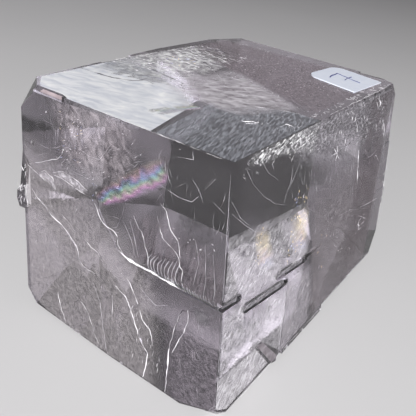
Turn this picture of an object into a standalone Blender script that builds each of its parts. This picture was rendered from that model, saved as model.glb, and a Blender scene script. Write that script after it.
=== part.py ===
"""Calcite specimen: a clear cleavage rhomb with a small paper label, lying on its lower cleavage face.

Lengths are in millimetres until at() turns them into metres. Places on the crystal are given as
(s, r, t), measured from the near upper corner along the three cleavage edges that meet there:
s runs back to the left-hand corner, r runs to the right-hand corner and t runs down.
"""

import math

import bmesh
import bpy
from mathutils import Vector

MM = 0.001

# Driving dimensions. All three face angles at the near upper corner are calcite's obtuse angle.
CLEAVAGE_ANGLE = math.radians(101.92)
DEPTH_S = 47.0
LENGTH_R = 62.0
HEIGHT_T = 40.0
NEAR_CORNER = Vector((-19.51, -16.04, 37.788))

# Cutters stand this far out of the crystal, so no cut face lies on a crystal face.
CLEAR = 2.0

# Label: office sticker with two corners rounded, lifted off the crystal by a hair.
LABEL_WIDTH = 11.4
LABEL_DEPTH = 11.2
LABEL_THICK = 0.2
LABEL_LIFT = 0.3
LABEL_RADIUS = 2.4
LABEL_PLACE = (8.2, 47.0)
LABEL_TURN = math.radians(-3.0)
LABEL_ARC_STEPS = 5

# The three edge directions. R lies along +X and S lies level, so the top face is level too.
_c = math.cos(CLEAVAGE_ANGLE)
_s = math.sin(CLEAVAGE_ANGLE)
_t_side = _c * (1.0 - _c) / _s
EDGE_S = Vector((_c, _s, 0.0))
EDGE_R = Vector((1.0, 0.0, 0.0))
EDGE_T = Vector((_c, _t_side, -math.sqrt(1.0 - _c * _c - _t_side * _t_side)))

# Each face: its two edge directions, and where its flat coordinates (a, b) go in (s, r, t).
FACES = {
    "top": (EDGE_S, EDGE_R, lambda a, b, depth: (a, b, depth)),
    "left": (EDGE_S, EDGE_T, lambda a, b, depth: (a, depth, b)),
    "right": (EDGE_R, EDGE_T, lambda a, b, depth: (depth, a, b)),
}

# Planes that trim the block, each by three points on it. The back and end faces aren't quite true.
TRIMS = {
    "back face, left part": [(38.5, 0, 0), (42.8, 33, 0), (40.3, 0, 40)],
    "back face, right part": [(42.8, 33, 0), (43.2, 49.5, 0), (44.6, 33, 40)],
    "back corner": [(43.2, 49.5, 0), (40.4, 57.6, 0), (43.8, 58.0, 20)],
    "end face, upper part": [(0, 55.4, 0), (40, 57.8, 0), (0, 57.0, 22.5)],
    "end face, lower part": [(0, 57.0, 22.5), (0, 56.0, 34.5), (40, 59.4, 22.5)],
    "end face, foot": [(0, 56.1, 34), (0, 52.6, 40), (30, 58.0, 40)],
    "right-hand corner": [(0, 53.0, 0), (4.4, 55.6, 0), (0, 56.3, 3.7)],
    "foot corner": [(6.5, 0, 40), (0, 0, 37.4), (0, 3.2, 40)],
    "foot corner tip": [(1.9, 0, 38.6), (0, 1.3, 38.4), (0.9, 0, 37.0)],
    "left-hand corner": [(34.6, 0, 0), (38.4, 0, 3.8), (38.9, 3.0, 0)],
    "left foot": [(40.3, 0, 36.6), (37.4, 0, 40), (42.4, 18, 40)],
    "left foot edge": [(21, 0, 40), (40, 0, 39.1), (40, 26, 40)],
}

# Cleavage steps: blocks taken off along cleavage directions, as (s span, r span, t span).
LEDGES = {
    "left-hand top edge": ((29.3, 40), (-CLEAR, 0.7), (-CLEAR, 0.85)),
    "back top edge": ((40.2, 48), (16.5, 24), (-CLEAR, 0.3)),
    "end top edge": ((-CLEAR, 8.6), (54.9, 62), (-CLEAR, 0.55)),
    "right face, end corner": ((-CLEAR, 0.45), (49.0, 62), (-CLEAR, 13.0)),
    "right face, foot edge": ((-CLEAR, 1.1), (31.2, 62), (38.7, 42)),
    "right face, foot notch": ((-CLEAR, 0.9), (15.6, 17.4), (39.2, 42)),
}

# Slots where the right face is open along an inner crack: centre line from, to as (r, t), height.
SLOT_DEPTH = 0.9
SLOTS = {
    "slot at the near edge": ((-CLEAR, 20.0), (3.6, 20.7), 1.0),
    "slot with a round end": ((5.4, 23.6), (16.2, 25.3), 1.25),
    "slot to the far side": ((13.8, 23.0), (22.2, 24.2), 1.15),
    "slot to the far side, tip": ((20.4, 23.75), (26.6, 24.1), 0.6),
}

# Step lines and cracks that stand open as grooves: face, width, depth and route.
GROOVES = {
    "inner crack": (
        "left", 0.42, 0.8, [(18.8, 19.9), (16.0, 20.7), (12.4, 20.6), (7.8, 20.4), (4.5, 20.5), (-1.0, 20.6)],
    ),
    "crack above": (
        "left", 0.22, 0.25, [(23.0, 12.3), (22.3, 14.8), (21.2, 16.6), (19.6, 18.2), (18.6, 20.2)],
    ),
    "near step": (
        "left", 0.2, 0.25, [(5.6, 23.3), (6.6, 23.9), (7.9, 27.8), (8.7, 31.6), (8.8, 33.8), (9.3, 41.0)],
    ),
    "middle step": (
        "left", 0.2, 0.22, [(19.3, 26.2), (17.2, 27.0), (15.3, 30.7), (13.2, 34.8), (13.0, 36.9), (13.7, 41.0)],
    ),
    "far step": (
        "left", 0.2, 0.22, [(37.4, 17.3), (34.4, 19.1), (29.7, 21.4), (27.2, 23.6), (27.0, 25.5), (23.5, 26.6)],
    ),
    "upright crack": (
        "right", 0.2, 0.3, [(16.3, 25.0), (16.6, 28.8), (16.3, 34.5), (16.2, 41.0)],
    ),
}
GROOVE_RISE = 0.25


def at(s, r, t):
    """The point (s, r, t) in metres, in the specimen's frame."""
    return (NEAR_CORNER + EDGE_S * s + EDGE_R * r + EDGE_T * t) * MM


def material(name, colour, roughness):
    """A plain material with one colour and finish."""
    mat = bpy.data.materials.new(name)
    mat.use_nodes = True
    shader = mat.node_tree.nodes["Principled BSDF"]
    shader.inputs["Base Color"].default_value = (*colour, 1.0)
    shader.inputs["Roughness"].default_value = roughness
    shader.inputs["Metallic"].default_value = 0.0
    return mat


def add_object(name, bm):
    """Turns a bmesh into a named object with its faces pointing out."""
    bmesh.ops.recalc_face_normals(bm, faces=bm.faces)
    mesh = bpy.data.meshes.new(name)
    bm.to_mesh(mesh)
    bm.free()
    obj = bpy.data.objects.new(name, mesh)
    bpy.context.scene.collection.objects.link(obj)
    return obj


def loft(name, near, far):
    """A closed solid between two outlines with the same number of (s, r, t) points."""
    bm = bmesh.new()
    ring_near = [bm.verts.new(at(*p)) for p in near]
    ring_far = [bm.verts.new(at(*p)) for p in far]
    bm.faces.new(ring_near)
    bm.faces.new(ring_far)
    count = len(near)
    for i in range(count):
        j = (i + 1) % count
        bm.faces.new((ring_near[i], ring_near[j], ring_far[j], ring_far[i]))
    return add_object(name, bm)


def block(name, s_span, r_span, t_span):
    """A block whose edges follow the three cleavage directions."""
    s0, s1 = s_span
    r0, r1 = r_span
    near, far = ([(s0, r0, t), (s1, r0, t), (s1, r1, t), (s0, r1, t)] for t in t_span)
    return loft(name, near, far)


def slot(name, start, end, height):
    """A slot in the right face along a straight line, with half-round ends."""
    length = math.dist(start, end)
    along = ((end[0] - start[0]) / length, (end[1] - start[1]) / length)
    across = (-along[1], along[0])
    radius = height / 2
    outline = []
    for centre, turn in ((end, 0), (start, 180)):
        for step in (-90, -45, 0, 45, 90):
            angle = math.radians(step + turn)
            a = radius * math.cos(angle)
            b = radius * math.sin(angle)
            r = centre[0] + along[0] * a + across[0] * b
            t = centre[1] + along[1] * a + across[1] * b
            outline.append((r, t))
    return loft(name, [(-CLEAR, r, t) for r, t in outline], [(SLOT_DEPTH, r, t) for r, t in outline])


def groove(name, face, width, depth, route):
    """A V-shaped groove along a route on a face; it is narrower at its ends."""
    dir_a, dir_b, spread = FACES[face]
    flat = [NEAR_CORNER + dir_a * a + dir_b * b for a, b in route]
    lie = dir_a.cross(dir_b).normalized()
    inward = math.copysign(1.0, lie.dot(at(*spread(0, 0, 1)) - at(0, 0, 0)))
    widen = (depth + GROOVE_RISE) / depth
    bm = bmesh.new()
    rings = []
    last = len(flat) - 1
    for i, p in enumerate(flat):
        run = (flat[min(i + 1, last)] - flat[max(i - 1, 0)]).normalized()
        side = run.cross(lie)
        size = 0.45 if i in (0, last) else 1.0
        half = side * (width * size * widen / 2)
        out = lie * (-inward * GROOVE_RISE)
        deep = lie * (inward * depth * size)
        rings.append([bm.verts.new((p + q) * MM) for q in (out - half, out + half, deep)])
    bm.faces.new(rings[0])
    bm.faces.new(rings[-1])
    for one, two in zip(rings, rings[1:]):
        for i in range(3):
            j = (i + 1) % 3
            bm.faces.new((one[i], one[j], two[j], two[i]))
    bmesh.ops.triangulate(bm, faces=bm.faces)
    return add_object(name, bm)


def combine(target, tool, operation):
    """Cuts the tool out of the target, or joins it to the target, and hides the tool."""
    change = target.modifiers.new(tool.name, "BOOLEAN")
    change.operation = operation
    change.solver = "EXACT"
    change.object = tool
    tool.hide_render = True
    tool.display_type = "WIRE"


def hull(bm):
    """Closes what is left in a bmesh into one convex solid."""
    points = [v.co.copy() for v in bm.verts]
    bm.clear()
    bmesh.ops.convex_hull(bm, input=[bm.verts.new(p) for p in points])
    inside = [v for v in bm.verts if not v.link_faces]
    bmesh.ops.delete(bm, geom=inside, context="VERTS")


def trimmed_block():
    """The cleavage rhomb with its uneven back and end faces and its chipped corners."""
    bm = bmesh.new()
    for s in (0, DEPTH_S):
        for r in (0, LENGTH_R):
            for t in (0, HEIGHT_T):
                bm.verts.new(at(s, r, t))
    hull(bm)
    middle = at(DEPTH_S / 2, LENGTH_R / 2, HEIGHT_T / 2)
    for points in TRIMS.values():
        p, q, w = (at(*point) for point in points)
        normal = (q - p).cross(w - p).normalized()
        if normal.dot(middle - p) > 0:
            normal.negate()
        everything = bm.verts[:] + bm.edges[:] + bm.faces[:]
        bmesh.ops.bisect_plane(bm, geom=everything, dist=1e-7, plane_co=p, plane_no=normal, clear_outer=True)
        hull(bm)
    bmesh.ops.dissolve_limit(bm, angle_limit=math.radians(0.1), verts=bm.verts, edges=bm.edges)
    return add_object("crystal", bm)


def right_slab(name, depth, near_face, at_depth):
    """A slab off the right face, with one outline at the face and one at its full depth."""
    return loft(name, [(-0.3, r, t) for r, t in near_face], [(depth, r, t) for r, t in at_depth])


def foot_slab():
    """The part of the right face that lies lower below a slanting ledge, with its sloping end."""
    near_face = [(-CLEAR, 30.9), (10.6, 33.0), (17.2, 41.6), (-CLEAR, 43.0)]
    at_depth = [(-CLEAR, 31.2), (9.0, 32.9), (15.6, 42.0), (-CLEAR, 43.0)]
    return right_slab("foot slab", 0.45, near_face, at_depth)


def end_slab():
    """The part of the right face that lies a little lower beyond an upright step."""
    near_face = [(38.5, 8.6), (41.3, 23.4), (61.0, 24.0), (61.0, 10.2)]
    at_depth = [(38.7, 8.8), (41.5, 23.2), (61.0, 23.8), (61.0, 10.4)]
    return right_slab("end slab", 0.28, near_face, at_depth)


def nib():
    """A flake along the left-hand edge that ends in a small splinter standing out of it."""
    near = [(38.4, 8.0), (40.3, 18.0), (41.2, 18.9), (41.4, 20.4), (40.9, 21.7), (38.9, 21.5)]
    return loft("nib", [(s, 0.0, t) for s, t in near], [(s - 0.1, 2.6, t + 0.1) for s, t in near])


def crystal():
    """The whole crystal as one solid."""
    body = trimmed_block()
    combine(body, nib(), "UNION")
    combine(body, foot_slab(), "DIFFERENCE")
    combine(body, end_slab(), "DIFFERENCE")
    for name, spans in LEDGES.items():
        combine(body, block(name, *spans), "DIFFERENCE")
    for name, sizes in SLOTS.items():
        combine(body, slot(name, *sizes), "DIFFERENCE")
    for name, shape in GROOVES.items():
        combine(body, groove(name, *shape), "DIFFERENCE")
    body.data.materials.append(material("calcite", (0.25, 0.235, 0.26), 0.06))


def label():
    """The paper label: a square with its two far corners rounded."""
    half_w = LABEL_WIDTH / 2
    half_d = LABEL_DEPTH / 2
    outline = [(-half_w, -half_d), (half_w, -half_d)]
    for side, start in ((1, 0), (-1, 90)):
        centre = (side * (half_w - LABEL_RADIUS), half_d - LABEL_RADIUS)
        for step in range(LABEL_ARC_STEPS + 1):
            angle = math.radians(start + 90 * step / LABEL_ARC_STEPS)
            x = centre[0] + LABEL_RADIUS * math.cos(angle)
            y = centre[1] + LABEL_RADIUS * math.sin(angle)
            outline.append((x, y))
    bm = bmesh.new()
    lower = bm.faces.new([bm.verts.new(Vector((x, y, 0)) * MM) for x, y in outline])
    raised = bmesh.ops.extrude_face_region(bm, geom=[lower])["geom"]
    moved = [v for v in raised if isinstance(v, bmesh.types.BMVert)]
    bmesh.ops.translate(bm, verts=moved, vec=(0, 0, LABEL_THICK * MM))
    sticker = add_object("label", bm)
    sticker.location = at(*LABEL_PLACE, 0) + Vector((0, 0, LABEL_LIFT * MM))
    sticker.rotation_euler[2] = LABEL_TURN
    sticker.data.materials.append(material("label paper", (0.82, 0.84, 0.88), 0.7))


def main():
    for obj in list(bpy.data.objects):
        bpy.data.objects.remove(obj, do_unlink=True)
    crystal()
    label()


main()
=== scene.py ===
"""Calcite cleavage rhomb with its paper label, standing on a pale studio floor.

Lengths are in millimetres until at() turns them into metres. Places on the crystal are (s, r, t),
measured from the near upper corner along the three cleavage edges that meet there: s runs back to
the left-hand corner, r to the right-hand corner and t down. The surface work on each face is drawn
in that face's own two edge directions, so every line follows the cleavage as the real ones do.
"""

import math
import random

import bmesh
import bpy
from mathutils import Euler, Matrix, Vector


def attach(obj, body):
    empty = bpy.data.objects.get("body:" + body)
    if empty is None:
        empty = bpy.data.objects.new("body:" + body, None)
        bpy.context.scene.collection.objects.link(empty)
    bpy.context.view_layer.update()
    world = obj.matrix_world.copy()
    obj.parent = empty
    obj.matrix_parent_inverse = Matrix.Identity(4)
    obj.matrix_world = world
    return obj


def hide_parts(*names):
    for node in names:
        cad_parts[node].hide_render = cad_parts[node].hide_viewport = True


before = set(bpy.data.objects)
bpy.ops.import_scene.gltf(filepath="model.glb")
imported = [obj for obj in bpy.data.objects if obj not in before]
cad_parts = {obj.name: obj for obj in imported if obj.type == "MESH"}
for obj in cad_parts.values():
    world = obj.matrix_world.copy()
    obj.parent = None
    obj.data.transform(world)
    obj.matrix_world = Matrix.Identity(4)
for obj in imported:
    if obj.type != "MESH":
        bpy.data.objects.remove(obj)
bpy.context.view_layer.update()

MM = 0.001
CLEAVAGE_ANGLE = math.radians(101.92)
NEAR_CORNER = Vector((-19.51, -16.04, 37.788))

# The three edge directions. R lies along +X and S lies level, so the top face is level too.
COSINE = math.cos(CLEAVAGE_ANGLE)
LEAN = COSINE * (1.0 - COSINE) / math.sin(CLEAVAGE_ANGLE)
EDGE_S = Vector((COSINE, math.sin(CLEAVAGE_ANGLE), 0.0))
EDGE_R = Vector((1.0, 0.0, 0.0))
EDGE_T = Vector((COSINE, LEAN, -math.sqrt(1.0 - COSINE * COSINE - LEAN * LEAN)))

# Outward normals of the three faces that meet at the near upper corner.
NORMAL_TOP = Vector((0.0, 0.0, 1.0))
NORMAL_LEFT = EDGE_S.cross(EDGE_T).normalized()
NORMAL_RIGHT = -EDGE_R.cross(EDGE_T).normalized()

# Each face: its two edge directions, where its flat coordinates (a, b) go, and its normal.
FACES = {
    "top": (EDGE_S, EDGE_R, NORMAL_TOP),
    "left": (EDGE_S, EDGE_T, NORMAL_LEFT),
    "right": (EDGE_R, EDGE_T, NORMAL_RIGHT),
}

# Camera, fitted to the photograph's outline: place in millimetres, turn in degrees.
CAMERA_PLACE = (-53.649, -41.127, 62.566)
CAMERA_TURN = (56.344, -6.539, -48.119)
CAMERA_LENS = 34.516
CAMERA_SHIFT = (-0.0337, -0.0577)

WELD = 2e-6  # metres: corners closer than this are one corner
FLAT_WITHIN = math.radians(0.3)
MAP_OFFSET = 100.0  # millimetres, keeps every map value above zero


def at(s, r, t):
    """The point (s, r, t) in metres, in the specimen's frame."""
    return (NEAR_CORNER + EDGE_S * s + EDGE_R * r + EDGE_T * t) * MM


def on_face(face, a, b, sink=0.0):
    """The point (a, b) on a face, in metres, sunk by so many millimetres under it."""
    along, down, normal = FACES[face]
    return (NEAR_CORNER + along * a + down * b - normal * sink) * MM


def colour(text):
    """A linear RGBA colour from an sRGB hex value such as '#C8C4CC'."""
    parts = [int(text[i:i + 2], 16) / 255.0 for i in (1, 3, 5)]
    linear = [p / 12.92 if p <= 0.04045 else ((p + 0.055) / 1.055) ** 2.4 for p in parts]
    return (*linear, 1.0)


def add(tree, kind, inputs=None, **settings):
    """Adds a node with its settings, and gives or links each named input."""
    node = tree.nodes.new(kind)
    for name, value in settings.items():
        setattr(node, name, value)
    for name, value in (inputs or {}).items():
        socket = node.inputs[name]
        if isinstance(value, bpy.types.NodeSocket):
            tree.links.new(value, socket)
        else:
            socket.default_value = value
    return node


def blend(tree, factor, first, second):
    """Two hex colours mixed by a factor."""
    mix = add(tree, "ShaderNodeMix", {"Factor": factor}, data_type="RGBA")
    mix.inputs["A"].default_value = colour(first)
    mix.inputs["B"].default_value = colour(second)
    return mix.outputs["Result"]


def noise(tree, where, scale, detail, distortion=0.0):
    """A noise texture: its node, for its value or its colour."""
    given = {"Vector": where, "Scale": scale, "Detail": detail, "Distortion": distortion}
    return add(tree, "ShaderNodeTexNoise", given)


def remap(tree, value, low=(0.0, 1.0), high=(0.0, 1.0)):
    """A value taken from the range low to the range high."""
    limits = {"From Min": low[0], "From Max": low[1], "To Min": high[0], "To Max": high[1]}
    return add(tree, "ShaderNodeMapRange", {"Value": value, **limits}).outputs["Result"]


def calculate(tree, operation, *values):
    """One step of arithmetic."""
    return add(tree, "ShaderNodeMath", dict(enumerate(values)), operation=operation).outputs[0]


def stretched(tree, where, scale, turn=0.0):
    """Coordinates stretched along and across, and then turned."""
    given = {"Vector": where, "Rotation": (0.0, 0.0, turn), "Scale": (*scale, 1.0)}
    return add(tree, "ShaderNodeMapping", given).outputs["Vector"]


def cleavage_map(tree):
    """A face's own coordinates, in millimetres along its cleavage edges."""
    return add(tree, "ShaderNodeUVMap", uv_map="cleavage").outputs["UV"]


def stored(tree, name):
    """A value that is stored on the mesh."""
    return add(tree, "ShaderNodeAttribute", attribute_name=name).outputs["Fac"]


def new_material(name):
    """An empty material with its Principled shader and its tree."""
    mat = bpy.data.materials.new(name)
    mat.use_nodes = True
    shader = mat.node_tree.nodes["Principled BSDF"]
    return mat, mat.node_tree, shader


def mesh_from(build, name, set_normals=True):
    """A mesh from a finished bmesh, with all normals outward."""
    if set_normals:
        bmesh.ops.recalc_face_normals(build, faces=build.faces)
    mesh = bpy.data.meshes.new(name)
    build.to_mesh(mesh)
    build.free()
    return mesh


def cad_mesh(node, name, lift=0.0):
    """A CAD node's mesh, with its double corners joined, lifted by so many millimetres."""
    build = bmesh.new()
    build.from_mesh(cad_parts[node].data)
    bmesh.ops.remove_doubles(build, verts=build.verts, dist=WELD)
    if lift:
        bmesh.ops.translate(build, verts=build.verts, vec=(0.0, 0.0, lift * MM))
    else:
        bmesh.ops.dissolve_limit(build, angle_limit=FLAT_WITHIN, verts=build.verts, edges=build.edges)
    return mesh_from(build, name, set_normals=False)


def store(mesh, name, values):
    """Stores one value for each point of a mesh."""
    layer = mesh.attributes.new(name, "FLOAT", "POINT")
    for item, value in zip(layer.data, values):
        item.value = value


def write_map(mesh, flat):
    """Writes the cleavage map of a mesh. flat gives a point's two values in millimetres."""
    layer = mesh.uv_layers.new(name="cleavage")
    for loop in mesh.loops:
        u, v = flat(mesh.vertices[loop.vertex_index].co / MM)
        layer.data[loop.index].uv = (u + MAP_OFFSET, v + MAP_OFFSET)


def place(name, mesh, mat):
    """Links a mesh as an object at the origin, with one material."""
    obj = bpy.data.objects.new(name, mesh)
    bpy.context.scene.collection.objects.link(obj)
    if mat is not None:
        mesh.materials.clear()
        mesh.materials.append(mat)
    return obj


def keep_result(obj):
    """Turns an object's modifiers into its plain mesh."""
    graph = bpy.context.evaluated_depsgraph_get()
    made = bpy.data.meshes.new_from_object(obj.evaluated_get(graph))
    obj.modifiers.clear()
    old = obj.data
    obj.data = made
    bpy.data.meshes.remove(old)


def take_off(obj, cutter):
    """Takes the cutter's shape off an object, and removes the cutter."""
    cut = obj.modifiers.new("cut", "BOOLEAN")
    cut.operation = "DIFFERENCE"
    cut.solver = "EXACT"
    cut.use_self = True
    cut.object = cutter
    keep_result(obj)
    bpy.data.objects.remove(cutter)


def mount(piece, node="crystal", slot="calcite"):
    """The piece rides on the specimen and stands for a CAD node, which it hides; slot is not used."""
    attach(piece, "root")
    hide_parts(node)
    return piece


# Studio


def set_camera():
    camera = bpy.data.objects.new("camera", bpy.data.cameras.new("camera"))
    bpy.context.scene.collection.objects.link(camera)
    camera.data.sensor_width = 36.0
    camera.data.lens = CAMERA_LENS
    camera.data.shift_x, camera.data.shift_y = CAMERA_SHIFT
    camera.data.clip_start = 0.005
    camera.location = Vector(CAMERA_PLACE) * MM
    camera.rotation_euler = [math.radians(angle) for angle in CAMERA_TURN]
    bpy.context.scene.camera = camera


def area_light(name, place_at, target, size, power, tint="#FFFFFF", through_only=False):
    """A soft light of a width and height.

    One that is through_only shows through the crystal and lights nothing.
    """
    lamp = bpy.data.lights.new(name, "AREA")
    lamp.shape = "RECTANGLE"
    lamp.size, lamp.size_y = size
    lamp.energy = power
    lamp.color = colour(tint)[:3]
    obj = bpy.data.objects.new(name, lamp)
    bpy.context.scene.collection.objects.link(obj)
    obj.location = place_at
    obj.rotation_euler = (Vector(target) - Vector(place_at)).to_track_quat("-Z", "Y").to_euler()
    obj.visible_camera = False
    obj.visible_diffuse = not through_only
    obj.visible_glossy = not through_only
    obj.visible_transmission = through_only
    return obj


def set_studio():
    mesh = bpy.data.meshes.new("floor")
    half = 2.0
    gap = -0.1 * MM  # air under the crystal, so its lower face mirrors as a real one does
    corners = [(-half, -half, gap), (half, -half, gap), (half, half, gap), (-half, half, gap)]
    mesh.from_pydata(corners, [], [(0, 1, 2, 3)])
    # Matt painted board: pale, even, with a faint mottle about 0.1 m across.
    floor = place("floor", mesh, flecked_material("matt_painted_board", 9.0, 3.0, "#C9C8C9", "#CFCECF",
                                                  0.9))

    world = bpy.data.worlds.new("studio")
    bpy.context.scene.world = world
    world.use_nodes = True
    tree = world.node_tree
    # Studio walls: grey at the horizon, lighter above. They light the floor less than they show.
    back = add(tree, "ShaderNodeTexCoord").outputs["Generated"]
    up = add(tree, "ShaderNodeSeparateXYZ", {"Vector": back}).outputs["Z"]
    wall = blend(tree, remap(tree, up, (0.0, 0.5)), "#979396", "#C6C3C7")
    tree.links.new(wall, tree.nodes["Background"].inputs["Color"])
    ray = add(tree, "ShaderNodeLightPath")
    dim = remap(tree, ray.outputs["Is Diffuse Ray"], high=(1.0, 0.12))
    tree.links.new(dim, tree.nodes["Background"].inputs["Strength"])

    middle = (0.0, 0.0, 0.02)
    area_light("key", (-0.58, -0.42, 0.37), middle, (0.22, 0.22), 12.6)
    # Two soft panels behind the crystal, which show as its bright inner faces.
    area_light("panel behind", (0.43, 0.02, 0.43), middle, (0.50, 0.38), 1.25, "#F6F7FF", True)
    area_light("panel right", (0.40, -0.40, 0.195), middle, (0.66, 0.36), 1.18, "#FAF8FF", True)

    scene = bpy.context.scene
    scene.view_settings.view_transform = "Standard"
    scene.cycles.max_bounces = 24
    scene.cycles.transmission_bounces = 24
    scene.cycles.glossy_bounces = 16
    scene.cycles.transparent_max_bounces = 48
    scene.cycles.caustics_refractive = False
    scene.cycles.caustics_reflective = False


# Finishes


def flecked_material(name, scale, detail, dark, light, rough, alpha=1.0):
    """A finish whose tone wanders between two colours. scale: flecks per metre."""
    mat, tree, shader = new_material(name)
    flecks = noise(tree, add(tree, "ShaderNodeTexCoord").outputs["Object"], scale, detail)
    tree.links.new(blend(tree, flecks.outputs["Fac"], dark, light), shader.inputs["Base Color"])
    shader.inputs["Roughness"].default_value = rough
    shader.inputs["Alpha"].default_value = alpha
    return mat


def bruise_and_painted_light_material(name, dark, light, alpha=1.0):
    """Bruised or crushed calcite, matt and whitish where fine cracks scatter the light; also painted glints
    and painted shade in open cracks.
    """
    return flecked_material(name, 1400.0, 2.0, dark, light, 0.35, alpha)


def paper_material():
    """Coated sticker paper: smooth bluish white."""
    return flecked_material("coated_sticker_paper", 900.0, 3.0, "#D3DAE9", "#E6EAF4", 0.5)


def ink_material():
    """Ballpoint ink, dried: deep blue, a little glossy, thinner in places."""
    return flecked_material("blue_ballpoint_ink", 1200.0, 1.0, "#1E2460", "#3C4489", 0.3)


def calcite_material():
    """Clear calcite, split along its cleavage: water-clear, glossy, faintly smoky lilac."""
    mat, tree, shader = new_material("calcite_cleavage_face")
    grain = cleavage_map(tree)

    # Silky striations, 6 mm long and 0.4 mm apart, on the slow waviness of the split, 5 mm across.
    silk = noise(tree, stretched(tree, grain, (0.16, 2.4)), 1.0, 4.0, 0.6).outputs["Fac"]
    wave = noise(tree, grain, 0.2, 2.0).outputs["Fac"]
    height = calculate(tree, "ADD", calculate(tree, "MULTIPLY", wave, 6.0), silk)
    strength = remap(tree, stored(tree, "hidden_face"), high=(0.25, 0.6))
    relief = {"Height": height, "Strength": strength, "Distance": 0.01 * MM}
    tree.links.new(add(tree, "ShaderNodeBump", relief).outputs["Normal"], shader.inputs["Normal"])
    tree.links.new(remap(tree, silk, high=(0.01, 0.04)), shader.inputs["Roughness"])

    shader.inputs["Base Color"].default_value = colour("#F6F3F7")
    shader.inputs["Transmission Weight"].default_value = 0.985
    shader.inputs["Specular Tint"].default_value = colour("#A9A9A9")
    shader.inputs["IOR"].default_value = 1.658
    smoke = add(tree, "ShaderNodeVolumeAbsorption", {"Color": colour("#C5C1C7"), "Density": 19.0})
    tree.links.new(smoke.outputs["Volume"], tree.nodes["Material Output"].inputs["Volume"])
    return mat


def ragged_cover(tree, cover):
    """The cover of a skin, worn away unevenly towards its rims."""
    patchy = noise(tree, cleavage_map(tree), 0.7, 4.0).outputs["Fac"]
    left = calculate(tree, "MULTIPLY_ADD", patchy, -0.4, stored(tree, "fade"))
    return calculate(tree, "MULTIPLY", cover, remap(tree, left, (-0.14, 0.7)))


def haze_and_painted_light_material(name, dark, light, grain, cover, contrast=(0.3, 0.7), turn=0.0):
    """A skin of fine cracks, see-through between them, also used for films of painted sheen and painted
    shade. grain: cracks per millimetre along and across.
    """
    mat, tree, shader = new_material(name)
    turned = stretched(tree, cleavage_map(tree), (1.0, 1.0), turn)
    cracks = noise(tree, stretched(tree, turned, grain), 1.0, 5.0, 0.7).outputs["Fac"]
    level = remap(tree, cracks, contrast)
    tree.links.new(blend(tree, level, dark, light), shader.inputs["Base Color"])
    tree.links.new(ragged_cover(tree, remap(tree, level, high=cover)), shader.inputs["Alpha"])
    shader.inputs["Roughness"].default_value = 0.6
    return mat


def rainbow_material(name, bands, most):
    """Newton's colours on a hairline crack: pastel bands that follow the thickness of the air film."""
    mat, tree, shader = new_material(name)
    where = cleavage_map(tree)
    ripple = noise(tree, where, 0.4, 2.0).outputs["Fac"]
    shift = calculate(tree, "MULTIPLY_ADD", ripple, 0.9, -0.45)
    film = calculate(tree, "ADD", stored(tree, "across"), shift)
    ramp = add(tree, "ShaderNodeValToRGB", {"Fac": film})
    ramp.color_ramp.interpolation = "B_SPLINE"
    elements = ramp.color_ramp.elements
    for i, tint in enumerate(bands):
        spot = elements[i] if i < 2 else elements.new(0.99)
        spot.position = i / (len(bands) - 1)
        spot.color = colour(tint)
    tree.links.new(ramp.outputs["Color"], shader.inputs["Base Color"])
    streaks = noise(tree, stretched(tree, where, (0.6, 1.6), 0.5), 1.0, 3.0).outputs["Fac"]
    cover = remap(tree, streaks, (0.36, 0.64), (most * 0.2, most))
    tree.links.new(ragged_cover(tree, cover), shader.inputs["Alpha"])
    shader.inputs["Roughness"].default_value = 0.3
    return mat


# Crystal body

# Rows of small chips along edges: from, to as (s, r, t), how many, smallest and largest size in mm.
CHIP_ROWS = [
    ((0.0, 24.0, 0.0), (0.0, 53.0, 0.0), 17, 0.35, 0.8),
    ((0.3, 12.0, 0.0), (0.3, 23.0, 0.0), 5, 0.25, 0.45),
    ((42.6, 8.0, 0.3), (43.6, 44.0, 0.3), 12, 0.35, 0.75),
    ((6.0, 56.2, 0.8), (36.0, 58.0, 0.8), 7, 0.4, 0.7),
    ((0.2, 56.0, 6.0), (0.2, 56.6, 32.0), 10, 0.3, 0.7),
    ((0.3, 18.0, 40.0), (0.3, 50.0, 40.0), 8, 0.4, 0.8),
    ((0.1, 0.1, 3.0), (0.1, 0.1, 36.0), 8, 0.18, 0.3),
    ((14.0, 0.2, 40.0), (34.0, 0.2, 39.6), 7, 0.25, 0.5),
    ((36.5, 0.2, 5.0), (37.5, 0.2, 34.0), 5, 0.3, 0.5),
]
# Small pits in the faces: place as (a, b) and size in mm.
PITS = {
    "top": [
        (36.3, 26.5, 0.8), (32.4, 30.3, 0.7), (25.4, 29.0, 0.5), (40.6, 43.1, 0.6),
        (35.8, 41.4, 1.0), (9.4, 24.6, 0.3), (13.9, 32.1, 0.35), (23.1, 35.1, 0.3),
    ],
    "right": [(46.9, 27.4, 0.5), (45.0, 28.6, 0.6), (29.5, 7.1, 0.45), (16.3, 3.4, 0.5)],
    "left": [(32.9, 3.3, 0.35), (26.8, 5.2, 0.4), (29.5, 8.1, 0.4), (20.2, 9.0, 0.3)],
}


def flake(build, middle, size, rng):
    """Adds one angular splinter shape to a mesh."""
    turn = Euler([rng.uniform(0, math.tau) for _ in range(3)]).to_matrix()
    stretch = (rng.uniform(0.9, 1.5), rng.uniform(0.6, 1.0), rng.uniform(0.35, 0.7))
    corners = []
    for axis in range(3):
        for sign in (-1, 1):
            corner = Vector([0.0, 0.0, 0.0])
            corner[axis] = sign * stretch[axis] * size * MM * rng.uniform(0.8, 1.2)
            corners.append(build.verts.new(middle + turn @ corner))
    for x in (0, 1):
        for y in (2, 3):
            for z in (4, 5):
                build.faces.new((corners[x], corners[y], corners[z]))


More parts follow.
